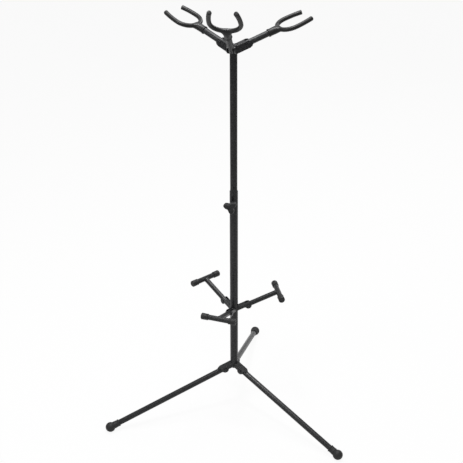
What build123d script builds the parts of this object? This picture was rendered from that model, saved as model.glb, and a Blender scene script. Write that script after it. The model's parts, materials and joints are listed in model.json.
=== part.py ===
from build123d import *
import os
from math import atan2, cos, degrees, hypot, radians, sin, tan

# A folding rack for three guitars. A telescoping mast stands on three hinged
# legs. Three hinged T-bars carry the bodies and three hinged forks the necks.
# Origin on the floor under the mast axis, +Z up along the mast, millimetres.

# Directions of the arms, counter-clockwise from +X seen from above, degrees
leg_headings = {"left": 199.31, "right": 319.31, "back": 79.31}
cradle_headings = {"front": 250.64, "right": 10.64, "left": 130.64}
neck_headings = {"front": 260.76, "right": 20.76, "left": 140.76}

# Mast
lower_tube_radius = 11.1
lower_tube_wall = 1.0
upper_tube_radius = 9.525
upper_tube_wall = 1.2
mast_bottom = 137.0
mast_joint = 699.7
mast_top = 1081.6
upper_tube_overlap = 150.0
running_gap = 0.05
sleeve_length = 60.0
sleeve_lip = 1.2
plug_flange = 2.0
plug_depth = 15.0
glide_length = 12.0
hub_height = 17.5
index_hole_radius = 2.0
index_hole_above_joint = 15.0
index_hole_heading = 270.0

# Clamp on the lower tube
knob_heading = 253.0
knob_height = 667.0
screw_radius = 3.0
nut_radius = 7.5
nut_length = 8.5
knob_start = 24.0
knob_thickness = 13.0
knob_hub_radius = 11.0
lobe_radius = 6.5
lobe_offset = 13.0
first_lobe_angle = 45.0
screw_clearance_hole = 4.0

# Pressed steel brackets and their rivets
sheet = 1.2
side_gap = 0.3
rivet_radius = 3.0
rivet_head_radius = 5.2
rivet_head_height = 1.8
bracket_inner_radius = 5.75
ear_drop = 0.8
bend_radius = 1.1

# Legs
leg_radius = 7.95
leg_wall = 1.2
leg_axis_height = 146.1
foot_reach = 375.7
foot_centre_height = 13.1
leg_pivot_radius = 29.0
leg_web_length = 20.0
leg_ear_radius = 9.2
leg_side_depth = 3.0
leg_tongue_radius = 5.0
foot_ball_radius = 14.0
foot_mouth_radius = 9.6
foot_neck_station = -9.0
foot_sleeve_length = 28.0
plug_length = 14.0

# Cradles: an arm with a crossbar for the guitar's body
cradle_radius = 7.0
cradle_wall = 1.2
cradle_elevation = 20.5
cradle_pivot_radius = 40.0
cradle_pivot_height = 343.7
cradle_bar_station = 92.5
cradle_tail = 10.0
cradle_web_gap = 6.2
cradle_ear_radius = 8.7
cradle_side_depth = 1.0
bar_radius = 7.25
bar_wall = 1.2
bar_half_length = 47.0
cap_radius = 9.0
cap_length = 19.5
cap_end = 2.0
cap_rounding = 2.0

# Neck arms: an arm with a fork for the guitar's neck
neck_radius = 7.95
neck_wall = 1.2
neck_elevation = 18.9
front_arm_raised = 27.0
neck_pivot_radius = 39.0
neck_pivot_height = 1099.5
neck_tail = 10.0
neck_web_gap = 6.8
neck_ear_radius = 9.0
neck_side_depth = 10.5
boot_start = 55.3
boot_radius = 10.0
boot_end_radius = 11.5
neck_tube_end = 79.0
fork_bottom_station = 86.4
fork_bend_radius = 33.0
fork_half_width = 37.4
fork_tip_station = 166.2
fork_tip_half_width = 30.2
prong_radius = 6.1
tip_rounding = 2.0


def arm_plane(heading, elevation, radius, height):
    """Frame of an arm at its pivot: x outward along the arm, y up, z to its side."""
    turn = radians(heading)
    tilt = radians(elevation)
    outward = Vector(cos(turn) * cos(tilt), sin(turn) * cos(tilt), sin(tilt))
    side = Vector(sin(turn), -cos(turn), 0)
    pivot = Vector(radius * cos(turn), radius * sin(turn), height)
    return Plane(origin=pivot, x_dir=outward, z_dir=side)


def post(radius, bottom, top):
    """Round bar on the mast axis between two heights."""
    return Pos(0, 0, (bottom + top) / 2) * Cylinder(radius, top - bottom)


def rod(radius, start, end):
    """Round bar along the local x axis between two stations."""
    return Pos((start + end) / 2, 0, 0) * Rot(0, 90, 0) * Cylinder(radius, end - start)


def tube(radius, wall, start, end):
    """Round tube along the local x axis between two stations."""
    return rod(radius, start, end) - rod(radius - wall, start - 1, end + 1)


def cross_pin(radius, length):
    """Round bar across the pivot, along the local z axis."""
    return Cylinder(radius, length)


def bracket(tube_radius, ear_radius, side_depth, reach, shoulder):
    """Channel bent from sheet: a web over the tube and two ears beside the pivot.

    The shoulder (start, end, depth) is the stretch of side wall that the ears
    blend into. The web ends where the shoulder does.
    """
    inside = tube_radius + side_gap
    top = inside + sheet
    half_width = inside + sheet
    start, web_end, depth = shoulder
    strip = Pos(-reach / 2, (top - side_depth) / 2) * Rectangle(reach, top + side_depth)
    disc = Pos(0, -ear_drop) * Circle(ear_radius)
    wall = Pos((start + web_end) / 2, (top - depth) / 2) * Rectangle(web_end - start, top + depth)
    outline = strip + make_hull(disc.edges() + wall.edges())
    channel = extrude(outline, half_width, both=True)
    long_edges = channel.edges().filter_by(Axis.X).group_by(Axis.Y)[-1]
    channel = fillet(long_edges, bend_radius)
    block = 4 * reach
    channel -= Pos(0, inside - block / 2, 0) * Box(block, block, 2 * inside)
    channel -= Pos(web_end + block / 2, 0, 0) * Box(block, block, 2 * inside)
    return channel - cross_pin(rivet_radius, 3 * half_width)


def with_tongue(channel, tube_radius, ear_radius, web_end):
    """Narrows the web beyond the ears to a rounded tongue."""
    half_width = tube_radius + side_gap + sheet
    block = 4 * half_width
    root = Pos(ear_radius, 0) * Rectangle(sheet, 2 * half_width)
    tip = Pos(web_end - leg_tongue_radius, 0) * Circle(leg_tongue_radius)
    tongue = extrude(Plane.XZ * make_hull(root.edges() + tip.edges()), block, both=True)
    beyond = Pos(ear_radius + block / 2, 0, 0) * Box(block, block, block)
    return channel - (beyond - tongue)


def fit_to_mast(channel, heading, height):
    """Trim the inner end of a placed bracket to the round of the mast."""
    block = 200.0
    inner_side = Pos(bracket_inner_radius - block / 2, 0, height) * Box(block, block, block)
    return channel - Rot(0, 0, heading) * inner_side - Pos(0, 0, height) * Cylinder(lower_tube_radius, block)


def rivet(tube_radius):
    """Pivot rivet with a rounded head outside each ear."""
    half_width = tube_radius + side_gap + sheet
    shape = cross_pin(rivet_radius, 2 * half_width)
    for side in (-1, 1):
        head = Cylinder(rivet_head_radius, rivet_head_height)
        rim = head.edges().group_by(Axis.Z)[-1 if side > 0 else 0]
        head = fillet(rim, rivet_head_height * 0.7)
        shape += Pos(0, 0, side * (half_width + rivet_head_height / 2)) * head
    return shape


def pivot_bore():
    """Running hole for a rivet."""
    return cross_pin(rivet_radius + running_gap, 8 * rivet_radius)


def end_plug(tube_radius, wall, tail):
    """Plastic plug in the hinged end of a tube, bored for the rivet."""
    return rod(tube_radius - wall, -tail, plug_length) - pivot_bore()


def leg_end_trim():
    """Everything inward of the pivot that is outside a half-round tube end."""
    width = 4 * leg_radius
    return Pos(-width / 2, 0, 0) * Box(width, width, width) - Cylinder(leg_radius, 2 * width)


def make_leg_parts():
    """Leg pieces in the frame at the leg's pivot."""
    slope = atan2(leg_axis_height - foot_centre_height, foot_reach)
    length = (foot_reach - leg_pivot_radius) / cos(slope)
    leg = tube(leg_radius, leg_wall, -leg_radius, length) - leg_end_trim() - pivot_bore()
    plug = end_plug(leg_radius, leg_wall, leg_radius) - leg_end_trim()
    return leg, plug, length


def make_foot():
    """Rubber foot: a tapered sleeve that runs into a ball, in the leg's direction."""
    ball = foot_ball_radius
    neck = (foot_neck_station, (ball**2 - foot_neck_station**2) ** 0.5)
    crown = (ball * cos(radians(45)), ball * sin(radians(45)))
    mouth = (-foot_sleeve_length, foot_mouth_radius)
    outline = Polyline((ball, 0), (-foot_sleeve_length, 0), mouth, neck)
    outline += ThreePointArc(neck, crown, (ball, 0))
    foot = revolve(make_face(outline), Axis.X)
    return foot - rod(leg_radius, -2 * foot_sleeve_length, 0)


def make_knob():
    """Three-lobed knob with its axis along local z, from z = 0 outward."""
    outline = Circle(knob_hub_radius)
    for turn in range(3):
        angle = first_lobe_angle + 120 * turn
        lobe = Pos(lobe_offset, 0) * Circle(lobe_radius)
        arm = Pos(lobe_offset / 2, 0) * Rectangle(lobe_offset, 1.7 * lobe_radius)
        outline += Rot(0, 0, angle) * (lobe + arm)
    knob = extrude(outline, knob_thickness)
    rims = knob.edges().group_by(Axis.Z)
    knob = fillet(rims[-1] + rims[0], 1.5)
    return knob - Cylinder(screw_radius, 2 * (knob_thickness - 4))


def make_fork():
    """Rubber fork in the frame at the arm's pivot, bored for the arm's tube."""
    centre = fork_bottom_station
    straight = fork_half_width - fork_bend_radius
    bend_end = centre + fork_bend_radius
    rise = fork_tip_station - bend_end
    drop = fork_half_width - fork_tip_half_width
    tip_radius = (rise**2 + drop**2) / (2 * drop)
    half_turn = atan2(drop, rise)
    middle_rise = tip_radius * sin(half_turn)
    middle_drop = tip_radius * (1 - cos(half_turn))
    quarter = fork_bend_radius * sin(radians(45))
    bend_middle = centre + fork_bend_radius - quarter
    edges = []
    for side in (-1, 1):
        edges.append(Line((centre, 0, 0), (centre, 0, side * straight)))
        edges.append(
            ThreePointArc(
                (centre, 0, side * straight),
                (bend_middle, 0, side * (straight + quarter)),
                (bend_end, 0, side * fork_half_width),
            )
        )
        edges.append(
            ThreePointArc(
                (bend_end, 0, side * fork_half_width),
                (bend_end + middle_rise, 0, side * (fork_half_width - middle_drop)),
                (fork_tip_station, 0, side * fork_tip_half_width),
            )
        )
    halves = []
    for half in (edges[:3], edges[3:]):
        path = Wire(half)
        section = Plane(origin=path @ 0, z_dir=path % 0) * Circle(prong_radius)
        prong = sweep(section, path)
        tip = prong.faces().sort_by(Axis.X)[-1]
        halves.append(fillet(tip.edges(), tip_rounding))
    boot = Pos((boot_start + centre) / 2, 0, 0) * Rot(0, 90, 0) * Cone(
        boot_radius, boot_end_radius, centre - boot_start
    )
    fork = halves[0] + halves[1] + boot
    return fork - rod(neck_radius, 0, neck_tube_end)


def make_cradle_parts():
    """Cradle pieces in the frame at the cradle's pivot."""
    across = Pos(cradle_bar_station, 0, 0)
    arm = tube(cradle_radius, cradle_wall, -cradle_tail, cradle_bar_station)
    arm = arm - across * Cylinder(bar_radius, 4 * bar_radius) - pivot_bore()
    bar = Cylinder(bar_radius, 2 * bar_half_length) - Cylinder(bar_radius - bar_wall, 4 * bar_half_length)
    caps = []
    for side in (-1, 1):
        end = bar_half_length + cap_end
        cap = Pos(0, 0, side * (end - cap_length / 2)) * Cylinder(cap_radius, cap_length)
        outer = cap.edges().filter_by(GeomType.CIRCLE).sort_by(Axis.Z)
        cap = fillet(outer[-1 if side > 0 else 0], cap_rounding)
        caps.append(across * (cap - Cylinder(bar_radius, 2 * bar_half_length)))
    return arm, across * bar, Compound(caps)


parts = {}

# Mast
lower = post(lower_tube_radius, mast_bottom + plug_flange, mast_joint)
lower -= post(lower_tube_radius - lower_tube_wall, mast_bottom, mast_joint + 1)
bore = lower_tube_radius - lower_tube_wall
knob_plane = Plane(
    origin=(0, 0, knob_height),
    x_dir=(-sin(radians(knob_heading)), cos(radians(knob_heading)), 0),
    z_dir=(cos(radians(knob_heading)), sin(radians(knob_heading)), 0),
)
screw_hole = knob_plane.location * Pos(0, 0, lower_tube_radius) * Cylinder(
    screw_clearance_hole, 2 * upper_tube_radius - 8
)
parts["lower_tube"] = lower - screw_hole

end_plug_body = post(lower_tube_radius, mast_bottom, mast_bottom + plug_flange)
end_plug_body += post(bore, mast_bottom + plug_flange, mast_bottom + plug_flange + plug_depth)
parts["lower_tube_end_plug"] = end_plug_body

sleeve = post(bore, mast_joint - sleeve_length, mast_joint)
sleeve += post(lower_tube_radius, mast_joint, mast_joint + sleeve_lip)
sleeve -= post(upper_tube_radius + running_gap, mast_joint - 2 * sleeve_length, mast_joint + 5)
parts["mast_sleeve"] = sleeve - screw_hole

upper_bottom = mast_joint - upper_tube_overlap
upper = post(upper_tube_radius, upper_bottom, mast_top)
upper -= post(upper_tube_radius - upper_tube_wall, upper_bottom - 1, mast_top + 1)
index_hole = Pos(0, 0, mast_joint + index_hole_above_joint) * Rot(0, 0, index_hole_heading)
upper -= index_hole * Pos(upper_tube_radius, 0, 0) * Rot(0, 90, 0) * Cylinder(
    index_hole_radius, upper_tube_radius
)
parts["upper_tube"] = upper

glide = post(upper_tube_radius - upper_tube_wall, upper_bottom, upper_bottom + plug_depth)
glide += post(bore - running_gap, upper_bottom - glide_length, upper_bottom)
parts["upper_tube_glide"] = glide

hub = post(lower_tube_radius, mast_top, mast_top + hub_height)
hub = fillet(hub.edges().group_by(Axis.Z)[-1], 1.5)
hub += post(upper_tube_radius - upper_tube_wall, mast_top - plug_depth, mast_top)
parts["top_hub_post"] = hub

# Clamp
nut = Pos(0, 0, (lower_tube_radius + nut_length) / 2) * Cylinder(nut_radius, lower_tube_radius + nut_length)
nut -= Cylinder(screw_radius + running_gap, 4 * nut_length + 2 * lower_tube_radius)
nut = knob_plane.location * nut
parts["clamp_nut"] = nut - post(lower_tube_radius, knob_height - 20, knob_height + 20)
screw_start = upper_tube_radius + side_gap
screw_end = knob_start + knob_thickness - 4
screw = Pos(0, 0, (screw_start + screw_end) / 2) * Cylinder(screw_radius, screw_end - screw_start)
parts["clamp_screw"] = knob_plane.location * screw
parts["clamp_knob"] = knob_plane.location * Pos(0, 0, knob_start) * make_knob()

# Legs
leg_slope = degrees(atan2(leg_axis_height - foot_centre_height, foot_reach))
leg_pivot_height = leg_axis_height - leg_pivot_radius * tan(radians(leg_slope))
leg_shoulder = (0, leg_web_length, -leg_radius)
leg_bracket = bracket(leg_radius, leg_ear_radius, leg_side_depth, leg_pivot_radius, leg_shoulder)
leg_bracket = with_tongue(leg_bracket, leg_radius, leg_ear_radius, leg_web_length)
leg, leg_plug, leg_length = make_leg_parts()
foot = Pos(leg_length, 0, 0) * make_foot()
below_floor = Pos(0, 0, -50) * Box(1000, 1000, 100)
for name, heading in leg_headings.items():
    place = arm_plane(heading, -leg_slope, leg_pivot_radius, leg_pivot_height).location
    parts["leg_bracket_" + name] = fit_to_mast(place * leg_bracket, heading, leg_axis_height)
    parts["leg_rivet_" + name] = place * rivet(leg_radius)
    parts["leg_tube_" + name] = place * leg
    parts["leg_plug_" + name] = place * leg_plug
    parts["leg_foot_" + name] = place * foot - below_floor

# Cradles
cradle_shoulder = (-2 * cradle_web_gap, -cradle_web_gap, -cradle_radius)
cradle_bracket = bracket(
    cradle_radius, cradle_ear_radius, cradle_side_depth, cradle_pivot_radius, cradle_shoulder
)
cradle_arm, cradle_bar, cradle_caps = make_cradle_parts()
for name, heading in cradle_headings.items():
    place = arm_plane(heading, cradle_elevation, cradle_pivot_radius, cradle_pivot_height).location
    parts["cradle_bracket_" + name] = fit_to_mast(place * cradle_bracket, heading, cradle_pivot_height)
    parts["cradle_rivet_" + name] = place * rivet(cradle_radius)
    parts["cradle_arm_" + name] = place * cradle_arm
    parts["cradle_plug_" + name] = place * end_plug(cradle_radius, cradle_wall, cradle_tail)
    parts["cradle_bar_" + name] = place * cradle_bar
    parts["cradle_caps_" + name] = place * cradle_caps

# Neck arms
neck_shoulder = (-neck_pivot_radius, -neck_web_gap, neck_side_depth)
neck_bracket = bracket(neck_radius, neck_ear_radius, neck_side_depth, neck_pivot_radius, neck_shoulder)
neck_arm = tube(neck_radius, neck_wall, -neck_tail, neck_tube_end) - pivot_bore()
neck_plug = end_plug(neck_radius, neck_wall, neck_tail)
fork = make_fork()
for name, heading in neck_headings.items():
    place = arm_plane(heading, neck_elevation, neck_pivot_radius, neck_pivot_height).location
    raised = front_arm_raised if name == "front" else 0
    arm_place = place * Rot(0, 0, raised)
    parts["neck_bracket_" + name] = fit_to_mast(place * neck_bracket, heading, neck_pivot_height)
    parts["neck_rivet_" + name] = place * rivet(neck_radius)
    parts["neck_arm_" + name] = arm_place * neck_arm
    parts["neck_plug_" + name] = arm_place * neck_plug
    parts["neck_yoke_" + name] = arm_place * fork

os.makedirs("parts", exist_ok=True)
for name, shape in parts.items():
    export_step(shape, os.path.join("parts", name + ".step"))
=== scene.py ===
import json
import math

import bmesh
import bpy
from mathutils import Matrix, Vector


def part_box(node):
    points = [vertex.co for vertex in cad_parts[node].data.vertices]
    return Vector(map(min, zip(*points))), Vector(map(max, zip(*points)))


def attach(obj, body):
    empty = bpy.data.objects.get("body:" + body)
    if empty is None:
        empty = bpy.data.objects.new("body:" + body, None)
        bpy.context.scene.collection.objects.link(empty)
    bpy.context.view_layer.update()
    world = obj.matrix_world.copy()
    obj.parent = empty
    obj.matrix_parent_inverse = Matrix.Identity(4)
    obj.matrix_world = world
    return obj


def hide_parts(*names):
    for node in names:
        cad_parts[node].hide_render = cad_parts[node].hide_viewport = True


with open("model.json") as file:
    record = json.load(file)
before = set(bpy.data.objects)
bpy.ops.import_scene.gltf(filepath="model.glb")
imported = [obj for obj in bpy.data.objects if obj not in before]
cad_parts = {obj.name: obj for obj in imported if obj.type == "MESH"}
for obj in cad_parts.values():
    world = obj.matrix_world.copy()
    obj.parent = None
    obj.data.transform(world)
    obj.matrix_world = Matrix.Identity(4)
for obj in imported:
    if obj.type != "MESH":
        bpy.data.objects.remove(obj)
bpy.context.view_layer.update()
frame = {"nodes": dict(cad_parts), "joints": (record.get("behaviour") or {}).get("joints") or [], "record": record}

record = frame["record"]
joints = {joint["name"]: joint for joint in frame["joints"]}
mounts = {mount["name"]: mount for mount in record["mounts"]}

MM = 0.001
UP = Vector((0, 0, 1))

# Sizes shared with the frame, in millimetres
FOOT_CENTRE_HEIGHT = 13.1
FOOT_BALL = 14.0
FOOT_SLEEVE = 28.0
LEG_TUBE = 7.95
BAR_TUBE = 7.25
BAR_END = 47.0
CAP_RADIUS = 9.0
CAP_LENGTH = 19.5
CAP_END = 2.0
CRADLE_TUBE = 7.0
MAST_TUBE = 11.1
SHEET = 1.2
SIDE_GAP = 0.3
NUT_RADIUS = 7.5
KNOB_START = 24.0
KNOB_THICKNESS = 13.0
FORK_BOTTOM = 86.4
FORK_BEND = 33.0
FORK_HALF_WIDTH = 37.4
FORK_TIP = 166.2
FORK_TIP_HALF_WIDTH = 30.2
PRONG = 6.1
BOOT_START = 55.3

# Finer shape of the moulded pieces and the welds, in millimetres
TIP_ROUNDING = 2.2
TIP_SETBACK = 2.0
BRACKET_ROOT = 5.9
HUB_BEAD = 0.95
ROUND_BEAD = 0.9

# In metres
FORK_VOXEL = 0.0011
FLOOR_DROP = 0.0004
FORK_SOFTENING = 10


# ---------------------------------------------------------------- shader maths

class Value:
    """A socket of a shader tree, with arithmetic that adds Math nodes."""

    def __init__(self, shader, socket):
        self.shader = shader
        self.socket = socket

    def math(self, operation, first, second=None):
        """One Math node on one or two values."""
        inputs = {0: first}
        if second is not None:
            inputs[1] = second
        return self.shader.node("ShaderNodeMath", {"operation": operation}, inputs)

    def __add__(self, other):
        return self.math("ADD", self, other)

    def __radd__(self, other):
        return self.math("ADD", other, self)

    def __sub__(self, other):
        return self.math("SUBTRACT", self, other)

    def __rsub__(self, other):
        return self.math("SUBTRACT", other, self)

    def __mul__(self, other):
        return self.math("MULTIPLY", self, other)

    def __rmul__(self, other):
        return self.math("MULTIPLY", other, self)

    def __pow__(self, other):
        return self.math("POWER", self, other)


class Shader:
    """A material or world tree that is built one node at a time."""

    def __init__(self, tree):
        self.tree = tree
        tree.nodes.clear()

    def node(self, kind, settings=None, inputs=None, output=0):
        """Adds a node: its type, its settings, then values or links for its sockets."""
        made = self.tree.nodes.new(kind)
        for name, value in (settings or {}).items():
            setattr(made, name, value)
        for name, value in (inputs or {}).items():
            if isinstance(value, Value):
                self.tree.links.new(value.socket, made.inputs[name])
            else:
                made.inputs[name].default_value = value
        return Value(self, made.outputs[output]) if made.outputs else made

    def coordinates(self):
        """Place on the object, in metres."""
        return self.node("ShaderNodeTexCoord", output="Object")

    def stretched(self, scale):
        """Place on the object with each direction scaled."""
        inputs = {"Vector": self.coordinates(), "Scale": scale}
        return self.node("ShaderNodeMapping", None, inputs)

    def noise(self, scale, detail=3.0, vector=None):
        """Soft noise from 0 to 1."""
        inputs = {"Vector": vector or self.coordinates(), "Scale": scale, "Detail": detail}
        return self.node("ShaderNodeTexNoise", None, inputs)

    def step(self, value, low, high):
        """0 below low, 1 above high, smooth between."""
        inputs = {"Value": value, "From Min": low, "From Max": high}
        return self.node("ShaderNodeMapRange", {"interpolation_type": "SMOOTHSTEP"}, inputs)

    def edges(self):
        """1 on sharp outer edges, 0 on flats and hollows."""
        pointed = self.node("ShaderNodeNewGeometry", output="Pointiness")
        return self.step(pointed, 0.53, 0.62)

    def mix(self, factor, first, second):
        """Colour between two colours."""
        inputs = {0: factor, 6: first, 7: second}
        return self.node("ShaderNodeMix", {"data_type": "RGBA"}, inputs, output=2)

    def bump(self, height, strength, distance, under=None):
        """Surface relief from a height value."""
        inputs = {"Height": height, "Strength": strength, "Distance": distance}
        if under is not None:
            inputs["Normal"] = under
        return self.node("ShaderNodeBump", None, inputs)

    def surface(self, inputs):
        """Principled surface joined to the output."""
        shader = self.node("ShaderNodeBsdfPrincipled", None, inputs)
        self.node("ShaderNodeOutputMaterial", None, {"Surface": shader})


def new_material(name):
    """An empty node material and its shader."""
    material = bpy.data.materials.new(name)
    material.use_nodes = True
    return material, Shader(material.node_tree)


def grey(level, tint=0.0):
    """A neutral colour, a little blue where tint is above 0."""
    return (level, level * (1 + 0.3 * tint), level * (1 + tint), 1.0)


# ------------------------------------------------------------------- materials

def black_enamel(name, level=0.007, streaks=0.0):
    """Satin black enamel on steel: orange peel, uneven gloss and rubbed edges."""
    material, s = new_material(name)
    cloud = s.noise(22.0, 4.0)
    peel = s.noise(950.0, 2.0)
    dust = s.step(s.noise(3200.0, 1.0), 0.66, 0.78)
    rubbed = s.edges() * s.step(s.noise(420.0, 4.0), 0.42, 0.62)
    lines = s.noise(1.0, 3.0, s.stretched((900.0, 900.0, 14.0)))
    colour = s.mix(cloud, grey(level, 0.22), grey(level * 1.7, 0.18))
    colour = s.mix(dust * 0.12, colour, grey(0.05))
    colour = s.mix(rubbed * 0.3, colour, grey(0.10))
    gloss = 0.19 + cloud * 0.08 + dust * 0.10 + rubbed * 0.1 + lines * streaks
    relief = s.bump(peel, 0.05, 0.0002)
    relief = s.bump(lines, 0.6 * streaks, 0.0002, relief)
    s.surface({
        "Base Color": colour,
        "Roughness": gloss,
        "Normal": relief,
        "Specular IOR Level": 0.26,
    })
    return material


def moulded_rubber(name, level, roughness=0.46):
    """Matt moulded rubber: fine grain, faint bloom and paler worn edges."""
    material, s = new_material(name)
    bloom = s.noise(60.0, 5.0)
    grain = s.noise(2400.0, 3.0)
    pores = s.step(s.noise(1300.0, 2.0), 0.6, 0.75)
    worn = s.edges()
    colour = s.mix(bloom, grey(level), grey(level * 1.6, 0.05))
    colour = s.mix(worn * 0.3, colour, grey(level * 2.6))
    colour = s.mix(pores * 0.5, colour, grey(level * 0.6))
    relief = s.bump(grain, 0.14, 0.0002)
    relief = s.bump(1 - pores, 0.08, 0.0002, relief)
    s.surface({
        "Base Color": colour,
        "Roughness": roughness + bloom * 0.14,
        "Normal": relief,
        "Specular IOR Level": 0.28,
    })
    return material


def moulded_plastic(name, level):
    """Hard black plastic with a fine spark-eroded texture."""
    material, s = new_material(name)
    texture = s.noise(1900.0, 3.0)
    cloud = s.noise(45.0, 3.0)
    rubbed = s.edges() * s.step(s.noise(260.0, 3.0), 0.4, 0.6)
    colour = s.mix(cloud, grey(level, 0.08), grey(level * 1.5, 0.08))
    colour = s.mix(rubbed * 0.4, colour, grey(0.12))
    s.surface({
        "Base Color": colour,
        "Roughness": 0.40 + cloud * 0.16,
        "Normal": s.bump(texture, 0.12, 0.0002),
        "Specular IOR Level": 0.3,
    })
    return material


def plated_steel(name):
    """Zinc plated screw: bright, drawn along its length and a little dull in patches."""
    material, s = new_material(name)
    drawn = s.noise(1500.0, 3.0)
    patch = s.noise(130.0, 4.0)
    s.surface({
        "Base Color": s.mix(patch, grey(0.42, 0.05), grey(0.6, 0.03)),
        "Metallic": 1.0,
        "Roughness": 0.22 + drawn * 0.16 + patch * 0.12,
        "Normal": s.bump(drawn, 0.15, 0.0002),
    })
    return material


def weld_finish(name):
    """Painted weld metal: heaped ripples under thick enamel."""
    material, s = new_material(name)
    ripple = s.noise(700.0, 2.0)
    spatter = s.step(s.noise(1500.0, 2.0), 0.6, 0.7)
    s.surface({
        "Base Color": s.mix(ripple, grey(0.007, 0.2), grey(0.016, 0.15)),
        "Roughness": 0.30 + ripple * 0.15,
        "Normal": s.bump(ripple + spatter * 0.5, 0.35, 0.0006),
        "Specular IOR Level": 0.26,
    })
    return material


finishes = {
    "black_paint": black_enamel("satin_black_enamel"),
    "black_rivet": black_enamel("rivet_enamel", 0.012),
    "zinc_steel": plated_steel("plated_screw"),
    "foot_rubber": moulded_rubber("foot_rubber", 0.016),
    "yoke_rubber": moulded_rubber("fork_rubber", 0.008, 0.30),
    "cap_rubber": moulded_rubber("cap_rubber", 0.014, 0.40),
    "knob_plastic": moulded_plastic("knob_plastic", 0.012),
    "black_plastic": moulded_plastic("plug_plastic", 0.010),
}
slide_finish = black_enamel("sliding_tube_enamel", 0.005, 0.08)
weld_bead_finish = weld_finish("painted_weld")

for part in record["subparts"]:
    node = frame["nodes"][part["node"]]
    finish = finishes[part["material_slot"]]
    if part["node"] == "upper_tube":
        finish = slide_finish
    if not node.material_slots:
        node.data.materials.append(finish)
    for material_slot in node.material_slots:
        material_slot.material = finish


# ---------------------------------------------------------------- mesh helpers

class Place:
    """A frame with x outward along an arm, y upward and z to its side, in millimetres."""

    def __init__(self, origin, outward):
        self.origin = Vector(origin)
        self.outward = Vector(outward).normalized()
        self.side = Vector((self.outward.y, -self.outward.x, 0)).normalized()
        self.up = self.side.cross(self.outward)

    def __call__(self, x, y, z):
        return self.origin + (self.outward * x + self.up * y + self.side * z) * MM


def heading_of(joint):
    """Outward horizontal direction of an arm, from its pivot."""
    x, y, _ = joint["pos_m"]
    return Vector((x, y, 0)).normalized()


def add_ring(mesh, points):
    """One ring of vertices."""
    return [mesh.verts.new(point) for point in points]


def skin(mesh, rings, closed_ends=True):
    """Faces between rings, with the first and last ring filled."""
    for first, second in zip(rings, rings[1:]):
        count = len(first)
        for i in range(count):
            following = (i + 1) % count
            mesh.faces.new((first[i], first[following], second[following], second[i]))
    if closed_ends:
        mesh.faces.new(rings[0][::-1])
        mesh.faces.new(rings[-1])


def lathe(mesh, place, profile, count=48, across=False):
    """Turns a profile of (station, radius) about x, or about z where across is true."""
    rings = []
    for station, radius in profile:
        points = []
        for i in range(count):
            angle = 2 * math.pi * i / count
            a = radius * math.cos(angle)
            b = radius * math.sin(angle)
            points.append(place(a, b, station) if across else place(station, a, b))
        rings.append(add_ring(mesh, points))
    skin(mesh, rings)


def arc(centre, radius, start, end, steps):
    """Points (along, out) of an arc, with angles in degrees from the along direction."""
    points = []
    for i in range(steps + 1):
        angle = math.radians(start + (end - start) * i / steps)
        points.append((centre[0] + radius * math.cos(angle), centre[1] + radius * math.sin(angle)))
    return points


def finish_piece(mesh, name, body, material, replaced=()):
    """Turns a bmesh into a smooth piece that rides on its body."""
    bmesh.ops.recalc_face_normals(mesh, faces=mesh.faces[:])
    for face in mesh.faces:
        face.smooth = True
    data = bpy.data.meshes.new(name)
    mesh.to_mesh(data)
    mesh.free()
    piece = bpy.data.objects.new(name, data)
    bpy.context.scene.collection.objects.link(piece)
    piece.data.materials.append(material)
    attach(piece, body)
    if replaced:
        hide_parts(*replaced)
    return piece


def melt(piece, voxel, passes):
    """Joins the overlapping shells of a piece into one skin and softens it."""
    remesh = piece.modifiers.new("melt", "REMESH")
    remesh.mode = "VOXEL"
    remesh.voxel_size = voxel
    remesh.use_smooth_shade = True
    soften = piece.modifiers.new("soften", "SMOOTH")
    soften.factor = 0.5
    soften.iterations = passes
    bpy.context.view_layer.update()
    graph = bpy.context.evaluated_depsgraph_get()
    solid = bpy.data.meshes.new_from_object(piece.evaluated_get(graph))
    material = piece.data.materials[0]
    piece.modifiers.clear()
    piece.data = solid
    if not solid.materials:
        solid.materials.append(material)


# ------------------------------------------------------------------ the forks

def fork_line():
    """Points (x, z, direction) on one half of the fork, from its middle to its tip."""
    line = []
    straight = FORK_HALF_WIDTH - FORK_BEND
    for i in range(4):
        line.append((FORK_BOTTOM, straight * i / 4, 90.0))
    bend_steps = 22
    for i in range(bend_steps):
        angle = 90.0 * i / bend_steps
        turn = math.radians(angle)
        x = FORK_BOTTOM + FORK_BEND * (1 - math.cos(turn))
        line.append((x, straight + FORK_BEND * math.sin(turn), 90.0 - angle))
    rise = FORK_TIP - FORK_BOTTOM - FORK_BEND
    drop = FORK_HALF_WIDTH - FORK_TIP_HALF_WIDTH
    radius = (rise**2 + drop**2) / (2 * drop)
    sweep_angle = math.atan2(rise, radius - drop)
    tip_steps = 14
    for i in range(tip_steps + 1):
        turn = sweep_angle * i / tip_steps
        x = FORK_BOTTOM + FORK_BEND + radius * math.sin(turn)
        z = FORK_HALF_WIDTH - radius * (1 - math.cos(turn))
        line.append((x, z, -math.degrees(turn)))
    return line


def prong_radius(share):
    """Prong radius: fuller at the middle of the fork and slightly swollen at the tip."""
    root = 0.5 * max(0.0, 1 - share / 0.25)
    tip = 0.25 * max(0.0, (share - 0.85) / 0.15)
    return PRONG - 0.3 + root + tip


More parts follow.
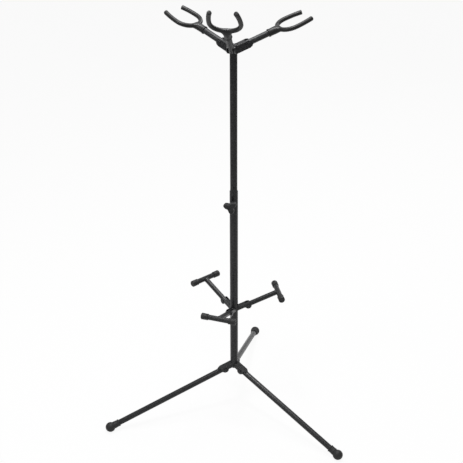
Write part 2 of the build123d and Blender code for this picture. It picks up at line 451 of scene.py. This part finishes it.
def add_prong(mesh, place, side):
    """One half of the fork, a bent round bar with a flat rounded tip."""
    line = fork_line()
    rings = []
    count = 28
    stations = []
    for i, (x, z, angle) in enumerate(line):
        stations.append((x, z, angle, prong_radius(i / (len(line) - 1)), 0.0))
    x, z, angle, radius, _ = stations[-1]
    for degrees in (20, 40, 60, 80, 90):
        turn = math.radians(degrees)
        cut = TIP_ROUNDING * (1 - math.cos(turn))
        forward = TIP_ROUNDING * (math.sin(turn) - 1)
        stations.append((x, z, angle, radius - cut, forward + TIP_ROUNDING * 0.9))
    for x, z, angle, radius, forward in stations:
        turn = math.radians(angle)
        along = (math.cos(turn), math.sin(turn))
        x_forward = x + along[0] * (forward - TIP_SETBACK)
        z_forward = z + along[1] * (forward - TIP_SETBACK)
        if forward == 0.0:
            x_forward, z_forward = x, z
        points = []
        for i in range(count):
            a = 2 * math.pi * i / count
            across = radius * math.sin(a)
            x_point = x_forward - along[1] * across
            z_point = z_forward + along[0] * across
            points.append(place(x_point, radius * math.cos(a), side * z_point))
        rings.append(add_ring(mesh, points))
    skin(mesh, rings)


def add_boot(mesh, place):
    """The fork's sleeve: a rolled lip, a slim neck and a fish-tail into the fork."""
    stations = [
        (0.0, 9.2, 9.2), (0.4, 10.2, 10.2), (1.6, 10.7, 10.7), (3.2, 10.5, 10.5), (4.4, 9.7, 9.7),
        (9.0, 9.6, 9.6), (15.0, 9.9, 9.8), (20.0, 10.8, 9.8), (24.0, 12.4, 9.3), (27.5, 15.2, 8.4),
        (30.5, 19.2, 7.2), (33.0, 21.0, 6.2),
    ]
    count = 40
    rings = []
    for station, half_width, half_height in stations:
        points = []
        for i in range(count):
            angle = 2 * math.pi * i / count
            y = half_height * math.cos(angle)
            z = half_width * math.sin(angle)
            points.append(place(BOOT_START + station, y, z))
        rings.append(add_ring(mesh, points))
    skin(mesh, rings)


def make_fork(name, place, body, node):
    """One moulded rubber fork with its boot."""
    mesh = bmesh.new()
    for side in (-1, 1):
        add_prong(mesh, place, side)
    add_boot(mesh, place)
    piece = finish_piece(mesh, name, body, finishes["yoke_rubber"], [node])
    melt(piece, FORK_VOXEL, FORK_SOFTENING)


# ------------------------------------------------------- feet, caps and the knob

def make_foot(name, place, body, node):
    """A rubber foot: rolled lip, tapered sleeve with two grooves, and a ball."""
    lip = [(-FOOT_SLEEVE, LEG_TUBE - 0.1), (-FOOT_SLEEVE, 9.0)]
    lip += arc((-FOOT_SLEEVE + 1.3, 9.2), 1.3, 150, 30, 5)
    sleeve = []
    for groove in (-22.5, -19.0):
        sleeve += [(groove - 0.9, 9.75), (groove - 0.4, 9.35), (groove + 0.4, 9.35), (groove + 0.9, 9.85)]
    sleeve += [(-15.0, 10.1), (-11.5, 10.35)]
    ball = arc((0, 0), FOOT_BALL, 138, 2, 26)
    mesh = bmesh.new()
    lathe(mesh, place, lip + sleeve + ball, 56)
    for vertex in mesh.verts:
        vertex.co.z = max(vertex.co.z, 0.0)
    finish_piece(mesh, name, body, finishes["foot_rubber"], [node])


def make_caps(name, place, body, node):
    """Both rubber caps of a crossbar: a rounded end, a shallow groove and a rolled lip."""
    end = BAR_END + CAP_END
    mouth = end - CAP_LENGTH
    mesh = bmesh.new()
    for side in (-1, 1):
        profile = [(mouth, BAR_TUBE - 0.1), (mouth, 8.1)]
        profile += arc((mouth + 0.9, 8.1), 0.9, 150, 60, 4)
        profile += [(mouth + 3.0, 8.7), (mouth + 3.6, 8.35), (mouth + 4.4, 8.35), (mouth + 5.0, 8.75)]
        profile += [(mouth + 9.0, 8.85), (end - 4.0, CAP_RADIUS)]
        profile += arc((end - 2.6, CAP_RADIUS - 2.6), 2.6, 80, 0, 7)
        profile += [(end - 0.1, 4.0), (end - 0.5, 3.4), (end - 0.5, 0.4)]
        lathe(mesh, place, [(side * x, radius) for x, radius in profile], 44, across=True)
    finish_piece(mesh, name, body, finishes["cap_rubber"], [node])


def lobe_outline(angle):
    """Radius of the three-lobed knob in a direction, full size, in millimetres."""
    swell = (1 + math.cos(3 * (angle - math.radians(45)))) / 2
    return 9.6 + 9.8 * swell**1.25


def make_knob():
    """The clamp knob: three rounded lobes, a crowned face with a dished centre."""
    axis = Vector(joints["clamp_knob_turn"]["axis"]).normalized()
    centre = Vector(joints["clamp_knob_turn"]["pos_m"])
    right = UP.cross(axis)
    depth = KNOB_THICKNESS
    levels = [
        (0.2, 0.86), (0.0, 0.90), (0.4, 0.955), (1.4, 0.99), (3.0, 1.0), (depth - 4.0, 1.0),
        (depth - 2.2, 0.985), (depth - 1.0, 0.94), (depth - 0.3, 0.86), (depth, 0.74), (depth, 0.5),
    ]
    mesh = bmesh.new()
    rings = []
    count = 96
    hollow = [(depth - 0.2, 6.2), (depth - 0.9, 5.6), (depth - 1.2, 4.6), (depth - 1.2, 0.5)]
    for level, share in levels:
        points = []
        for i in range(count):
            angle = 2 * math.pi * i / count
            radius = lobe_outline(angle) * share
            radius = radius if share > 0.6 else min(radius, 7.0)
            offset = right * (radius * math.cos(angle)) + UP * (radius * math.sin(angle))
            points.append(centre + (axis * (KNOB_START + level) + offset) * MM)
        rings.append(add_ring(mesh, points))
    for level, radius in hollow:
        points = []
        for i in range(count):
            angle = 2 * math.pi * i / count
            offset = right * (radius * math.cos(angle)) + UP * (radius * math.sin(angle))
            points.append(centre + (axis * (KNOB_START + level) + offset) * MM)
        rings.append(add_ring(mesh, points))
    skin(mesh, rings)
    finish_piece(mesh, "knob_moulding", "knob", finishes["knob_plastic"], ["clamp_knob"])


# ---------------------------------------------------------------------- welds

def add_bead(mesh, path, radius, closed):
    """A weld bead: a rounded rope along a path, with regular ripples."""
    count = 10
    rings = []
    total = len(path)
    for i, point in enumerate(path):
        before = path[(i - 1) % total] if closed or i > 0 else point
        after = path[(i + 1) % total] if closed or i < total - 1 else point
        along = (after - before).normalized()
        side = along.orthogonal().normalized()
        out = along.cross(side)
        ripple = radius * (1 + 0.16 * math.sin(i * 1.9) + 0.06 * math.sin(i * 0.7 + 1))
        points = []
        for k in range(count):
            angle = 2 * math.pi * k / count
            points.append(point + (side * math.cos(angle) + out * math.sin(angle)) * ripple * MM)
        rings.append(add_ring(mesh, points))
    align_rings(rings)
    if closed:
        rings.append(rings[0])
        skin(mesh, rings, closed_ends=False)
    else:
        skin(mesh, rings)


def align_rings(rings):
    """Turns each ring's start to lie nearest the start of the ring before it."""
    for before, ring in zip(rings, rings[1:]):
        nearest = min(range(len(ring)), key=lambda k: (ring[k].co - before[0].co).length)
        ring[:] = ring[nearest:] + ring[:nearest]


def web_path(joint, slope, tube_radius):
    """The line where the top of a bracket meets the mast."""
    x, y, z = joint["pos_m"]
    outward = heading_of(joint)
    side = Vector((outward.y, -outward.x, 0))
    pivot_radius = math.hypot(x, y) / MM
    top = tube_radius + SIDE_GAP + SHEET
    half_angle = math.degrees(math.asin(BRACKET_ROOT / MAST_TUBE)) * 1.5
    path = []
    for i in range(17):
        angle = math.radians(-half_angle + 2 * half_angle * i / 16)
        reach = MAST_TUBE * math.cos(angle)
        height = z / MM - (pivot_radius - reach) * math.tan(slope) + top / math.cos(slope)
        flat = outward * reach + side * (MAST_TUBE * math.sin(angle))
        path.append((flat + UP * (height - 0.2)) * MM)
    return path


def add_hub_welds(mesh, prefix, slope, tube_radius):
    """Beads on top of three brackets."""
    for joint in joints.values():
        if joint["name"].startswith(prefix):
            add_bead(mesh, web_path(joint, slope, tube_radius), HUB_BEAD, False)


def nut_path():
    """The line round the clamp nut where it meets the mast."""
    axis = Vector(joints["clamp_knob_turn"]["axis"]).normalized()
    centre = Vector(joints["clamp_knob_turn"]["pos_m"])
    right = UP.cross(axis)
    path = []
    steps = 48
    for i in range(steps):
        angle = 2 * math.pi * i / steps
        across = NUT_RADIUS * math.cos(angle)
        height = NUT_RADIUS * math.sin(angle)
        reach = math.sqrt(MAST_TUBE**2 - across**2)
        path.append(centre + (axis * reach + right * across + UP * height) * MM)
    return path


def make_bar_weld(name, place, length, body):
    """The bead where a cradle's arm meets its crossbar."""
    path = []
    steps = 44
    for i in range(steps):
        angle = 2 * math.pi * i / steps
        y = CRADLE_TUBE * math.cos(angle)
        z = CRADLE_TUBE * math.sin(angle)
        path.append(place(length - math.sqrt(BAR_TUBE**2 - y**2), y, z))
    mesh = bmesh.new()
    add_bead(mesh, path, ROUND_BEAD, True)
    finish_piece(mesh, name, body, weld_bead_finish)


# ------------------------------------------------------------- put it together

def centre_of(node):
    """Middle of a node's box."""
    low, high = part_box(node)
    return (low + high) / 2


slopes = {}
for side in ("left", "right", "back"):
    joint = joints["leg_fold_" + side]
    ball = Vector(mounts["foot_" + side]["pos_m"]) + UP * FOOT_CENTRE_HEIGHT * MM
    pivot = Vector(joint["pos_m"])
    outward = ball - pivot
    slopes["leg"] = math.atan2(outward.z, Vector((outward.x, outward.y)).length)
    make_foot("foot_moulding_" + side, Place(ball, outward), "leg_" + side, "leg_foot_" + side)

for side in ("front", "right", "left"):
    pivot = Vector(joints["cradle_fold_" + side]["pos_m"])
    outward = centre_of("cradle_bar_" + side) - pivot
    length = outward.length / MM
    slopes["cradle"] = math.atan2(outward.z, Vector((outward.x, outward.y)).length)
    body = "cradle_" + side
    bar_place = Place(centre_of("cradle_bar_" + side), outward)
    make_caps("cap_mouldings_" + side, bar_place, body, "cradle_caps_" + side)
    make_bar_weld("bar_weld_" + side, Place(pivot, outward), length, body)

for side in ("right", "left", "front"):
    pivot = Vector(joints["neck_arm_fold_" + side]["pos_m"])
    outward = centre_of("neck_arm_" + side) - pivot
    if side != "front":
        slopes["neck"] = math.atan2(outward.z, Vector((outward.x, outward.y)).length)
    make_fork("fork_moulding_" + side, Place(pivot, outward), "neck_" + side, "neck_yoke_" + side)

make_knob()

mesh = bmesh.new()
add_hub_welds(mesh, "leg_fold", slopes["leg"], LEG_TUBE)
add_hub_welds(mesh, "cradle_fold", slopes["cradle"], CRADLE_TUBE)
add_bead(mesh, nut_path(), ROUND_BEAD, True)
finish_piece(mesh, "lower_mast_welds", "stand", weld_bead_finish)
mesh = bmesh.new()
add_hub_welds(mesh, "neck_arm_fold", slopes["neck"], LEG_TUBE)
finish_piece(mesh, "top_hub_welds", "upper_mast", weld_bead_finish)


# -------------------------------------------------------- floor, light, camera

def make_floor():
    """A pale studio floor that fades to white for the camera but keeps the shadow."""
    mesh = bmesh.new()
    size = 9.0
    corners = []
    for x, y in ((-1, -1), (1, -1), (1, 1), (-1, 1)):
        corners.append(mesh.verts.new((x * size, y * size, -FLOOR_DROP)))
    mesh.faces.new(corners)
    data = bpy.data.meshes.new("floor")
    mesh.to_mesh(data)
    mesh.free()
    floor = bpy.data.objects.new("floor", data)
    bpy.context.scene.collection.objects.link(floor)
    material, s = new_material("studio_floor")
    paper = s.noise(3.0, 4.0)
    colour = s.mix(paper, grey(0.86), grey(0.90))
    matt = s.node("ShaderNodeBsdfDiffuse", None, {"Color": colour})
    glow = s.node("ShaderNodeEmission", None, {"Color": grey(1.0), "Strength": 1.0})
    seen = s.node("ShaderNodeLightPath", output="Is Camera Ray")
    mixed = s.node("ShaderNodeMixShader", None, {0: seen * 0.93, 1: matt, 2: glow})
    s.node("ShaderNodeOutputMaterial", None, {"Surface": mixed})
    data.materials.append(material)


def make_world():
    """White all round where it is seen directly or in a reflection, softer as light."""
    world = bpy.data.worlds.new("studio")
    bpy.context.scene.world = world
    world.use_nodes = True
    s = Shader(world.node_tree)
    seen = s.node("ShaderNodeLightPath", output="Is Camera Ray")
    glossy = s.node("ShaderNodeLightPath", output="Is Glossy Ray")
    through = s.node("ShaderNodeLightPath", output="Is Transmission Ray")
    strength = 0.3 + (seen + through) * 0.7 + glossy * 0.3
    light = s.node("ShaderNodeBackground", None, {"Color": grey(1.0), "Strength": strength})
    s.node("ShaderNodeOutputWorld", None, {"Surface": light})


def make_light(name, place, target, size, power):
    """A soft square lamp aimed at a point."""
    lamp = bpy.data.lights.new(name, "AREA")
    lamp.shape = "SQUARE"
    lamp.size = size
    lamp.energy = power
    holder = bpy.data.objects.new(name, lamp)
    holder.location = place
    holder.rotation_euler = (Vector(target) - Vector(place)).to_track_quat("-Z", "Y").to_euler()
    bpy.context.scene.collection.objects.link(holder)


def make_camera():
    """The camera, a little above the rack and looking down at it."""
    distance = 2.3274
    height = 1.8057
    pitch = math.radians(27.776)
    yaw = math.radians(-0.157)
    roll = math.radians(-0.19)
    forward = Vector((math.sin(yaw) * math.cos(pitch), math.cos(yaw) * math.cos(pitch), -math.sin(pitch)))
    right = forward.cross(UP).normalized()
    above = right.cross(forward)
    turned_right = right * math.cos(roll) + above * math.sin(roll)
    turned_above = above * math.cos(roll) - right * math.sin(roll)
    camera = bpy.data.cameras.new("camera")
    camera.sensor_width = 36.0
    camera.lens = 75.57
    holder = bpy.data.objects.new("camera", camera)
    turn = Matrix((turned_right, turned_above, -forward)).transposed()
    holder.matrix_world = Matrix.Translation((0, -distance, height)) @ turn.to_4x4()
    bpy.context.scene.collection.objects.link(holder)
    bpy.context.scene.camera = holder


make_floor()
make_world()
make_light("overhead", (0.0, 0.3, 2.7), (0, 0, 0.4), 1.3, 34)
make_light("strip", (-0.25, -0.35, 2.5), (0, 0, 0.6), 0.22, 16)
make_light("key", (-2.0, -1.6, 2.0), (0, 0, 0.6), 0.7, 12)
make_light("rim", (1.2, 2.2, 1.9), (0, 0, 0.7), 0.9, 12)
make_camera()
bpy.context.scene.view_settings.view_transform = "Standard"
